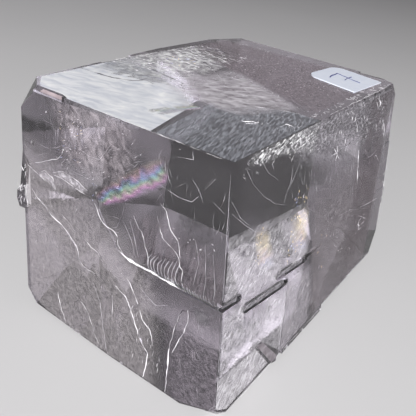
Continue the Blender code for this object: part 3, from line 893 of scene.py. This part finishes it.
def make_skins():
    # Painted sheen: a white film painted where the top face mirrors the light.
    painted_sheen = haze_and_painted_light_material("painted_white_sheen", "#D9DEEA", "#FFFFFF", (0.28, 0.8), (0.56, 0.78),
                          (0.24, 0.72), turn=0.2)
    make_skin(
        "painted_sheen_top", "top",
        [(12.8, 0.1), (20.0, 0.1), (28.9, 0.1), (29.3, 0.8), (35.2, 0.8), (38.6, 3.6)],
        [(16.2, 13.0), (20.0, 17.0), (25.0, 22.0), (31.0, 25.0), (40.8, 27.0)],
        painted_sheen, fades=(1.0, 1.0, 1.0, 0.9, 0.5, 0.0), ends=(0, 0), columns=24,
    )
    # Flaky whitish rim with clear gaps, along the back of the top face.
    flaky = haze_and_painted_light_material("flaky_cleavage_rim", "#A5A2AA", "#FFFFFF", (0.7, 1.5), (0.14, 0.84),
                          (0.38, 0.62), turn=0.3)
    make_skin(
        "flaky_top", "top",
        [(38.0, 12.0), (40.6, 20.0), (40.8, 30.0), (40.8, 44.0)],
        [(22.0, 17.0), (24.0, 24.0), (26.0, 34.0), (32.0, 46.0)],
        flaky, fades=(0.6, 1.0, 0.9, 0.6, 0.0), ends=(2, 9), columns=24,
    )
    # Painted sheen: a crackled silver film painted on the bright part of the right face round the slots.
    silver = haze_and_painted_light_material("crackled_painted_sheen", "#918D93", "#F4F1F6", (0.9, 2.6), (0.14, 0.34),
                           (0.34, 0.7), turn=0.7)
    right = make_skin(
        "painted_sheen_right", "right",
        [(0.3, 10.0), (4.8, 10.6), (12.2, 11.9), (17.5, 12.5), (20.9, 12.8)],
        [(0.2, 32.0), (6.1, 32.0), (10.6, 32.8), (16.8, 39.0), (27.0, 38.2)],
        silver, fades=(0.3, 1.0, 1.0, 0.9, 0.7, 0.5), ends=(0, 3), columns=24,
    )
    open_slots(right)
    # Painted shade: a faint rosy-grey film that darkens the far part of the right face.
    rosy_painted_shade_right = haze_and_painted_light_material("rosy_painted_shade", "#4A4548", "#8C868A", (0.8, 2.2), (0.3, 0.5), turn=0.15)
    far = make_skin(
        "rosy_painted_shade_right", "right",
        [(20.6, 11.0), (34.0, 10.0), (54.0, 13.0)], [(26.0, 38.4), (40.0, 38.4), (51.0, 38.0)],
        rosy_painted_shade_right, fades=(0.0, 0.5, 1.0, 1.0, 1.0, 0.9), ends=(2, 2), columns=24,
    )
    open_slots(far)
    # Painted sheen: paler crackled silver painted at the near foot.
    foot_silver = haze_and_painted_light_material("crackled_painted_sheen_foot", "#B4B0B6", "#F4F1F6", (0.8, 1.9), (0.24, 0.4),
                                (0.3, 0.72), turn=0.7)
    make_patch("painted_sheen_foot_corner", [(0.1, 0.1, 37.7), (2.3, 0.2, 38.6), (2.3, 1.8, 39.8),
                                      (0.2, 2.9, 39.8)], foot_silver)
    # Painted shade: a clearer, greyer strip painted behind the foot crack.
    painted_shade = haze_and_painted_light_material("painted_shade_behind_crack", "#55505A", "#B0ABB0", (0.5, 1.6), (0.22, 0.48),
                               turn=0.7)
    make_skin(
        "painted_shade_foot", "right", [(16.9, 25.9), (25.5, 26.4)], [(16.7, 38.7), (27.0, 38.6)],
        painted_shade, fades=(0.6, 1.0, 1.0, 0.9), ends=(0, 4), columns=16, sink=-0.045,
    )
    # Painted sheen: more of the paler silver along the foot of the right face.
    make_skin(
        "painted_sheen_foot", "right", [(0.3, 32.4), (9.4, 33.4)], [(0.3, 37.4), (2.6, 39.3), (14.0, 39.3)],
        foot_silver, fades=(0.6, 1.0, 1.0, 0.8), ends=(0, 0), sink=0.4, columns=10,
    )
    # Frosted haze with bright crumbs along the top edge of the right face.
    make_skin(
        "end_haze", "right",
        [(13.0, 0.12), (20.0, 0.12), (32.0, 0.12), (44.0, 0.3), (52.5, 0.5)],
        [(13.5, 4.9), (20.1, 7.4), (32.2, 11.6), (42.6, 15.0), (54.5, 18.6)],
        haze_and_painted_light_material("frosted_cleavage_haze", "#403E42", "#AFACB2", (1.4, 3.8), (0.34, 0.62), (0.38, 0.72),
                      turn=0.12),
        fades=(0.9, 1.0, 1.0, 0.6, 0.0), ends=(3, 2), columns=24,
    )
    # Combed grey scuffing at the near top corner.
    make_skin(
        "near_corner_scuff", "top",
        [(0.08, 0.5), (0.08, 12.0), (0.08, 21.5)],
        [(12.0, 0.3), (15.2, 16.4), (4.0, 21.6)],
        haze_and_painted_light_material("scuffed_cleavage_face", "#74767E", "#D5D9E2", (4.5, 0.6), (0.08, 0.34), (0.4, 0.7),
                      turn=0.15),
        fades=(0.9, 1.0, 1.0, 1.0, 0.9), ends=(0, 0), columns=24,
    )
    # Veined veil over the lower part of the left face: partly the crystal's own veil, partly painted light
    # that lifts the shade seen through the face.
    make_skin(
        "left_veil_low", "left",
        [(9.4, 20.2), (18.8, 14.0), (27.0, 9.0), (38.3, 6.0)],
        [(9.4, 39.7), (20.0, 39.8), (28.0, 39.6), (36.5, 39.0), (39.4, 37.3)],
        haze_and_painted_light_material("veined_veil_and_painted_light", "#918B8E", "#AFA9AB", (1.3, 2.2), (0.1, 0.19), (0.36, 0.64),
                      turn=0.8),
        fades=(0.0, 0.5, 0.9, 1.0, 1.0, 1.0, 1.0), ends=(4, 0), columns=24,
    )
    # Thin lilac veil beside the near edge: partly the crystal's own veil, partly painted light standing in
    # for surface reflections.
    make_skin(
        "left_veil_near", "left",
        [(0.3, 21.0), (11.5, 20.8)], [(0.3, 37.4), (6.4, 39.7), (11.5, 39.7)],
        haze_and_painted_light_material("lilac_veil_and_painted_light", "#6E6670", "#958C96", (1.3, 2.4), (0.06, 0.16), (0.36, 0.64),
                      turn=0.6),
        fades=(0.2, 0.9, 1.0, 1.0, 1.0), ends=(0, 6), columns=14,
    )
    # Brownish lilac speckle over the labelled part of the top face.
    make_skin(
        "top_veil", "top",
        [(2.0, 22.5), (2.0, 40.0), (2.0, 53.0)],
        [(36.0, 37.0), (41.0, 43.0), (41.0, 53.0)],
        haze_and_painted_light_material("brown_lilac_veil", "#3A3034", "#C6BAC1", (2.4, 4.2), (0.2, 0.5), (0.42, 0.7),
                      turn=0.3),
        fades=(0.6, 1.0, 1.0, 1.0, 0.6), columns=24,
    )
    # Mottled brown-lilac patch in the upper part of the left face.
    make_skin(
        "left_veil_high", "left",
        [(14.5, 0.5), (22.0, 0.4), (32.5, 0.9)],
        [(14.5, 7.0), (21.0, 11.8), (31.0, 10.0)],
        haze_and_painted_light_material("brown_lilac_mottle", "#4A4347", "#A39BA0", (0.6, 1.1), (0.12, 0.36), (0.34, 0.7),
                      turn=0.7),
        fades=(0.7, 1.0, 1.0, 0.8, 0.0), ends=(5, 6), columns=24,
    )
    # Painted shade: darker upright streaks beside the near edge.
    shade = haze_and_painted_light_material("shaded_streaks", "#2E292C", "#6A6268", (3.0, 0.35), (0.14, 0.36), (0.36, 0.66))
    make_skin(
        "near_edge_shade", "left",
        [(0.3, 12.5), (8.0, 10.5), (17.0, 11.5)],
        [(0.3, 20.0), (8.0, 20.1), (17.0, 19.6)],
        shade, fades=(0.0, 0.7, 1.0, 1.0, 0.9), ends=(0, 4), columns=18, sink=-0.032,
    )
    # Painted shade: a dark film that darkens the far end of the right face.
    depth = haze_and_painted_light_material("far_painted_shade", "#332D30", "#5E5559", (0.5, 0.2), (0.16, 0.3), (0.3, 0.7))
    make_skin(
        "painted_shade_far", "right",
        [(38.0, 0.8), (46.0, 0.8), (53.2, 1.0)], [(37.0, 36.0), (44.0, 37.0), (50.0, 37.0)],
        depth, fades=(0.9, 1.0, 1.0, 1.0, 0.7, 0.0), ends=(6, 1), columns=18, sink=-0.035,
    )
    # Cloudy white patch under the middle of the top face.
    make_skin(
        "top_cloud", "top",
        [(25.0, 15.0), (27.0, 24.0), (25.0, 35.0)],
        [(9.0, 12.6), (6.0, 17.5), (3.6, 23.5)],
        haze_and_painted_light_material("inner_cloud", "#968F95", "#E6E2E8", (0.45, 0.9), (0.42, 0.82), (0.3, 0.72),
                      turn=0.5),
        fades=(0.0, 0.7, 1.0, 0.9, 0.0), ends=(3, 3), columns=24, sink=-0.035,
    )
    # Crinkled bright rim under the near top edge.
    make_skin(
        "edge_crinkle", "right",
        [(3.6, 0.12), (12.0, 0.12), (22.0, 0.12)],
        [(3.0, 2.0), (11.0, 2.6), (22.0, 5.4)],
        haze_and_painted_light_material("crinkled_cleavage_rim", "#8A888F", "#FFFFFF", (1.1, 4.2), (0.0, 0.6), (0.45, 0.66),
                      turn=0.35),
        fades=(0.8, 1.0, 0.9, 0.0), ends=(3, 3), columns=24, sink=-0.035,
    )
    # Newton's colours of thin air films in cracks: a full one, a pale one and two gold ones.
    newton = ("#D8CDBE", "#D9B1A6", "#C9A0C0", "#8E93D2", "#86BFC9", "#B9D2A4", "#DDB7D0", "#D992D0",
              "#BBA3C6", "#A59CA6")
    make_skin(
        "crack_rainbow", "left",
        [(23.2, 12.9), (21.4, 11.0), (18.8, 8.6), (15.6, 6.0), (12.7, 4.0), (10.4, 2.6)],
        [(22.2, 14.4), (19.4, 13.2), (16.4, 11.4), (13.2, 9.4), (10.6, 7.4), (9.0, 5.4)],
        rainbow_material("newton_colours_film", newton, 0.2), fades=(0.0, 0.7, 1.0, 0.9, 0.0), columns=20,
    )
    make_skin(
        "top_rainbow", "top", [(18.6, 5.0), (17.8, 8.4), (15.6, 12.4)], [(15.8, 5.4), (15.2, 8.6),
                                                                         (13.6, 12.0)],
        rainbow_material("pale_colours_film", ("#E8DCD8", "#EFE6B8", "#BFE2E6", "#E6C4E0", "#E4DEE2"), 0.5),
    )
    gold = rainbow_material("gold_colours_film",
                            ("#D9D0C8", "#EFDBB4", "#FBF3DF", "#F1D6CA", "#D6D9F6", "#F2F0FA"), 0.4)
    make_skin(
        "gold_rainbow", "right", [(15.0, 13.4), (18.0, 13.0), (21.2, 12.9)], [(17.0, 22.2), (20.0, 22.6),
                                                                              (22.8, 23.0)],
        gold, fades=(0.0, 0.6, 0.9, 0.7, 0.4, 0.0), ends=(5, 2), sink=-0.06, columns=10,
    )
    make_skin(
        "pale_rainbow", "right", [(5.4, 11.2), (9.6, 11.8)], [(7.8, 20.0), (12.8, 21.0)],
        gold, fades=(0.0, 0.7, 0.9, 0.6, 0.0), ends=(4, 4), sink=-0.06, columns=10,
    )
    # Lens-shaped white flakes in the left face.
    flake_white = haze_and_painted_light_material("lens_shaped_flake", "#A8A2AA", "#ECE8EE", (1.8, 2.4), (0.02, 0.24),
                                (0.42, 0.62))
    make_skin("flake_far", "left", [(35.6, 14.0), (33.9, 13.0), (32.2, 13.6), (31.6, 15.2)],
              [(35.2, 14.6), (33.6, 14.3), (32.6, 14.6), (31.8, 15.6)], flake_white, sink=-0.06)
    make_skin("flake_near", "left", [(31.8, 12.6), (29.8, 11.6), (27.0, 11.9), (24.5, 12.8)],
              [(31.4, 13.2), (29.4, 12.8), (27.2, 13.2), (25.2, 13.8)], flake_white, sink=-0.06)
    # Painted shade: grey films painted beside the slot and on the wall of the foot notch, where they lie in
    # shadow.
    grey = haze_and_painted_light_material("shadowed_crack_wall", "#3C3A3F", "#6A666B", (0.8, 0.8), (0.5, 0.75))
    notch = haze_and_painted_light_material("notch_painted_shade", "#6E686D", "#938C92", (0.6, 0.6), (0.6, 0.85))
    make_skin("notch_wall", "right", [(8.9, 32.3), (10.8, 33.0)], [(14.2, 39.4), (15.8, 39.2)], notch,
              fades=(1.0, 1.0, 1.0, 1.0), ends=(0, 0), columns=6, sink=-0.06)
    make_skin("painted_shade_beside_slot", "left", [(5.2, 22.4), (2.6, 21.6)], [(3.8, 25.4), (1.4, 23.6)], grey, columns=6,
              sink=-0.06)
    # Painted shade: grey films painted on the floors of the slots.
    painted_lining_shade = haze_and_painted_light_material("slot_painted_shade", "#5B585D", "#A5A2A8", (1.2, 2.6), (0.35, 0.75))
    for i, (first, last, height) in enumerate(SLOTS):
        first = (max(first[0], 0.1), first[1])
        upper, lower = [[(r, t + side * height * 0.46) for r, t in (first, last)] for side in (-1, 1)]
        make_skin("slot_lining_%d" % i, "right", upper, lower, painted_lining_shade, fades=(0.6, 1.0, 1.0), ends=(0, 1),
                  sink=0.35, columns=8)
    # Rosy tread of the small ledge at the left-hand top edge.
    rosy = haze_and_painted_light_material("rosy_ledge", "#85777A", "#AC9EA2", (0.5, 0.5), (0.75, 0.9))
    make_skin(
        "rosy_ledge", "left", [(29.5, 0.1), (34.0, 0.1)], [(29.5, 0.8), (35.0, 0.8)],
        rosy, fades=(1.0, 1.0), ends=(0, 0), sink=LEDGE * abs(EDGE_R.dot(NORMAL_LEFT)) - 0.03, columns=6,
    )


# Sparks: small bright or dark flakes

SPARKS = [
    ("left", 0.2, [(26.8, 5.2), (29.5, 8.1), (22.8, 12.5), (5.7, 12.6), (3.9, 13.2)]),
    ("left", 0.13, [(26.7, 2.2), (25.1, 6.9), (23.6, 6.4), (20.2, 9.0), (4.5, 13.8), (6.3, 11.2),
                    (28.5, 2.1), (32.9, 3.3), (16.9, 1.8), (7.8, 0.8)]),
    ("right", 0.17, [(13.5, 1.9), (15.3, 2.7), (16.3, 3.4), (17.4, 4.7), (13.4, 3.0), (29.5, 7.1),
                     (28.5, 7.5), (30.7, 7.0)]),
    ("right", 0.12, [(17.7, 2.2), (34.2, 6.9), (30.2, 19.5), (37.1, 23.9), (32.4, 20.4), (11.2, 3.5),
                     (32.8, 28.0), (35.6, 29.2), (46.0, 28.6), (44.6, 27.6)]),
    ("top", 0.15, [(21.3, 29.5), (23.1, 35.1), (13.9, 32.1), (9.4, 24.6), (29.3, 44.3), (31.8, 34.1),
                   (32.4, 30.3), (36.8, 31.4), (39.2, 38.2)]),
    ("top", 0.18, [(7.1, 12.7), (6.7, 12.9), (6.3, 13.1), (5.6, 13.5), (5.0, 13.7)]),
]
SPECKS = [
    ("left", 0.13, [(21.7, 3.0), (19.5, 3.9), (13.9, 3.2)]),
    ("left", 0.08, [(18.9, 30.9), (17.9, 30.2), (10.6, 29.4), (11.0, 12.6)]),
]


def spark_tree():
    """Geometry nodes: a small angular flake on each point, turned and stretched at random."""
    tree, given, out = new_tree("spark", {"Flatness": "Float", "Finish": "Material"})
    size = add(tree, "GeometryNodeInputNamedAttribute", {"Name": "flake_size"}, data_type="FLOAT")
    shape = add(tree, "GeometryNodeMeshIcoSphere", {"Radius": 1.0, "Subdivisions": 1})
    turn = add(tree, "FunctionNodeRandomValue", {0: (0.0, 0.0, 0.0), 1: (6.28, 6.28, 6.28), "Seed": 5},
               data_type="FLOAT_VECTOR")
    vary = add(tree, "FunctionNodeRandomValue", {0: (0.7, 0.4, 0.5), 1: (1.4, 0.9, 1.0), "Seed": 9},
               data_type="FLOAT_VECTOR")
    flat = add(tree, "ShaderNodeCombineXYZ", {"X": 1.0, "Y": 1.0, "Z": given["Flatness"]})
    shaped = vector_step(tree, "MULTIPLY", vary.outputs[0], flat.outputs[0])
    scale = vector_step(tree, "SCALE", shaped, Scale=size.outputs["Attribute"])
    points = add(tree, "GeometryNodeMeshToPoints", {"Mesh": given["Geometry"]})
    spread = {"Points": points.outputs["Points"], "Instance": shape.outputs["Mesh"],
              "Rotation": turn.outputs[0], "Scale": scale}
    flakes = add(tree, "GeometryNodeInstanceOnPoints", spread)
    real = add(tree, "GeometryNodeRealizeInstances", {"Geometry": flakes.outputs["Instances"]})
    finish = add(tree, "GeometryNodeSetMaterial",
                 {"Geometry": real.outputs["Geometry"], "Material": given["Finish"]})
    tree.links.new(finish.outputs["Geometry"], out.inputs["Geometry"])
    return tree


def make_sparks(name, groups, mat, flatness):
    """Small angular flakes at places on the faces, half sunk in them."""
    points, sizes = [], []
    for face, size, places in groups:
        points += [on_face(face, a, b, 0.05) for a, b in places]
        sizes += [size * MM] * len(places)
    mesh = bpy.data.meshes.new(name)
    mesh.from_pydata(points, [], [])
    store(mesh, "flake_size", sizes)
    obj = place(name, mesh, mat)
    run_nodes(obj, SPARK_TREE, {"Flatness": flatness, "Finish": mat})
    mount(obj)


# Label

LABEL_DROP = 0.27  # millimetres, from the height in the solid model down to the face
# A plain crossed seven, written by hand: strokes as (s, r) on the top face.
SEVEN = [
    ("top", 0.24, [(10.2, 44.9), (10.6, 46.2), (10.5, 47.6), (10.7, 49.0)]),
    ("top", 0.24, [(10.7, 49.0), (8.8, 48.2), (6.8, 47.2), (4.7, 46.6)]),
    ("top", 0.2, [(7.4, 45.6), (7.7, 47.2), (7.6, 49.0)]),
]


def make_label():
    sticker = cad_mesh("label", "paper_sticker", -LABEL_DROP)
    mount(place("paper_sticker", sticker, paper_material()), "label", "label_paper")
    make_lines(
        "ink_seven", SEVEN, ink_material(), sink=-0.14, waver=0.12, thinnest=0.75, seed=3.0, tip=0.9,
        node="label", slot="label_paper",
    )


set_camera()
set_studio()
LINE_TREE = line_tree()
SPARK_TREE = spark_tree()
make_crystal()
chalky = bruise_and_painted_light_material("bruised_cleavage_step", "#BDB8C0", "#FFFDFF")
faint = bruise_and_painted_light_material("hairline_scratch", "#B4B0B8", "#F2EEF4", 0.42)
make_lines("step_lines", STEP_LINES, chalky, waver=0.32, thinnest=0.25)
make_lines("faint_lines", FAINT_LINES, faint, waver=0.15, seed=1.0)
rng = random.Random(5)
# Painted glints in gold and blue.
painted_gold_glint = bruise_and_painted_light_material("painted_gold_glint", "#DDB068", "#FFF4D4")
painted_blue_glint = bruise_and_painted_light_material("painted_blue_glint", "#909CE8", "#EEF0FF")
for name, fields, mat, sink, waver, seed in (
    ("scratches", SCRATCH_FIELDS, faint, 0.01, 0.12, 2.0),
    ("bright_crumbs", CRUMB_FIELDS, chalky, -0.02, 0.1, 4.0),
    ("gold_glints", GOLD_FIELDS, painted_gold_glint, -0.06, 0.1, 5.0),
    ("blue_glints", BLUE_FIELDS, painted_blue_glint, -0.06, 0.1, 6.0),
):
    marks = [line for field in fields for line in scratch_field(field, rng)]
    make_lines(name, marks, mat, sink=sink, waver=waver, seed=seed)
make_lines("crack_splinters", crack_ticks(rng), chalky, waver=0.15)
make_lines("ripple_arcs", ripple_arcs(rng), faint, waver=0.1)
# Painted shade along the open cracks.
make_lines("open_cracks", DARK_LINES, bruise_and_painted_light_material("shadowed_open_crack", "#2E2C31", "#565259", 0.8),
           waver=0.2)
make_skins()
make_sparks("bright_flakes", SPARKS, chalky, 0.4)
make_sparks("dark_specks", SPECKS, bruise_and_painted_light_material("iron_stained_speck", "#2A2422", "#4A3F3A"), 1.0)
make_label()
